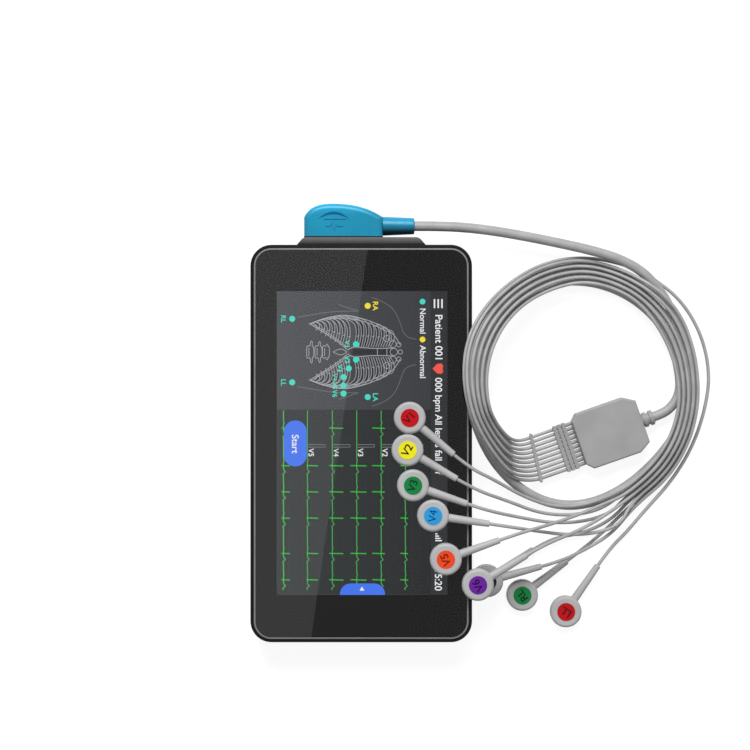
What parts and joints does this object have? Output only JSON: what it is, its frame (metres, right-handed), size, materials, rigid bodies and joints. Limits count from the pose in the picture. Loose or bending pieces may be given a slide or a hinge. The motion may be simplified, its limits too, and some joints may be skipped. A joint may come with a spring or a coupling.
{
  "type": "home ecg monitor",
  "caption": "Hand-held touch-screen ECG monitor lying on its back, with a plugged-in electrode lead set of snap clips coiled beside it.",
  "frame": {"origin": "middle of the monitor's footprint on the surface it lies on, counted from its left and right sides and from its lower end to the socket collar's face", "axes": "+X across the screen towards the side with the buttons, +Y along the case towards the plug, +Z out of the screen"},
  "size_m": [0.1872, 0.1765, 0.0289],
  "materials": {
    "case_plastic": "fine matte moulding",
    "boss_plastic": "satin moulding",
    "button_plastic": "satin gloss",
    "cover_glass": "clear over a black printed border",
    "display": "lit panel",
    "bracket_steel": "plain",
    "screw_steel": "blackened",
    "battery_wrap": "shrink wrap",
    "circuit_board": "solder mask",
    "speaker_body": "plain",
    "socket_plastic": "plain",
    "port_metal": "nickel plated",
    "label_blue": "printed film, blank",
    "camera_trim": "turned, dark anodised",
    "camera_black": "lens and body",
    "plug_blue": "fine satin moulding",
    "insert_plastic": "plain",
    "cable_grey": "satin jacket",
    "lead_grey": "satin jacket",
    "yoke_grey": "fine matte moulding",
    "snap_grey": "satin moulding",
    "stud_metal": "nickel plated",
    "cap_red": "satin gloss",
    "cap_yellow": "satin gloss",
    "cap_green": "satin gloss",
    "cap_blue": "satin gloss",
    "cap_orange": "satin gloss",
    "cap_purple": "satin gloss",
    "cap_white": "satin gloss",
    "cap_black": "satin gloss"
  },
  "bodies": {
    "monitor": {"front_frame": "case_plastic", "cover_glass": "cover_glass", "display_panel": "display", "display_bracket": "bracket_steel", "rear_cover": "case_plastic", "top_cap": "case_plastic", "socket_boss": "boss_plastic", "camera_ring": "camera_trim", "camera_module": "camera_black", "case_screws": "screw_steel", "battery_pack": "battery_wrap", "main_board": "circuit_board", "speaker": "speaker_body", "ecg_socket": "socket_plastic", "side_switches": "socket_plastic", "flap_hinge_pin": "port_metal", "usb_port": "port_metal", "round_label": "label_blue"},
    "battery_hatch": {"battery_hatch": "case_plastic"},
    "power_button": {"power_button": "button_plastic"},
    "record_button": {"record_button": "button_plastic"},
    "port_flap": {"port_flap": "case_plastic"},
    "lead_set": {"plug_housing": "plug_blue", "plug_insert": "insert_plastic", "plug_boot": "plug_blue", "trunk_cable": "cable_grey", "yoke_lower": "yoke_grey", "yoke_upper": "yoke_grey", "yoke_boot": "yoke_grey", "lead_comb": "yoke_grey", "stud_sockets": "stud_metal", "caps_red": "cap_red", "cap_yellow": "cap_yellow", "caps_green": "cap_green", "cap_blue": "cap_blue", "cap_orange": "cap_orange", "cap_purple": "cap_purple", "cap_white": "cap_white", "cap_black": "cap_black", "lead_v1": "lead_grey", "lead_v2": "lead_grey", "lead_v5": "lead_grey", "lead_v3": "lead_grey", "lead_v6": "lead_grey", "lead_ra": "lead_grey", "lead_v4": "lead_grey", "lead_rl": "lead_grey", "lead_la": "lead_grey", "lead_ll": "lead_grey", "snap_v1": "snap_grey", "snap_v2": "snap_grey", "snap_v5": "snap_grey", "snap_v3": "snap_grey", "snap_v6": "snap_grey", "snap_ra": "snap_grey", "snap_v4": "snap_grey", "snap_rl": "snap_grey", "snap_la": "snap_grey", "snap_ll": "snap_grey"},
    "lead_separator": {"lead_separator": "yoke_grey"}
  },
  "joints": [
    {"name": "battery_hatch_lift", "type": "slide", "parent": "monitor", "child": "battery_hatch", "axis": [0, 0, -1], "range_m": [0, 0.008]},
    {"name": "power_button_press", "type": "slide", "parent": "monitor", "child": "power_button", "axis": [-1, 0, 0], "range_m": [0, 0.0005], "stiffness_N_per_m": 1500, "springref_m": -0.0002},
    {"name": "record_button_press", "type": "slide", "parent": "monitor", "child": "record_button", "axis": [-1, 0, 0], "range_m": [0, 0.0005], "stiffness_N_per_m": 1500, "springref_m": -0.0002},
    {"name": "port_flap_hinge", "type": "hinge", "parent": "monitor", "child": "port_flap", "pos_m": [0.0436, -0.0011, 0.01295], "axis": [0, 1, 0], "range_deg": [0, 90]},
    {"name": "plug_pull", "type": "slide", "parent": "monitor", "child": "lead_set", "axis": [0, 1, 0], "range_m": [0, 0.01]},
    {"name": "separator_slide", "type": "slide", "parent": "lead_set", "child": "lead_separator", "axis": [0.9438, 0.3305, 0], "range_m": [0, 0.003]}
  ]
}
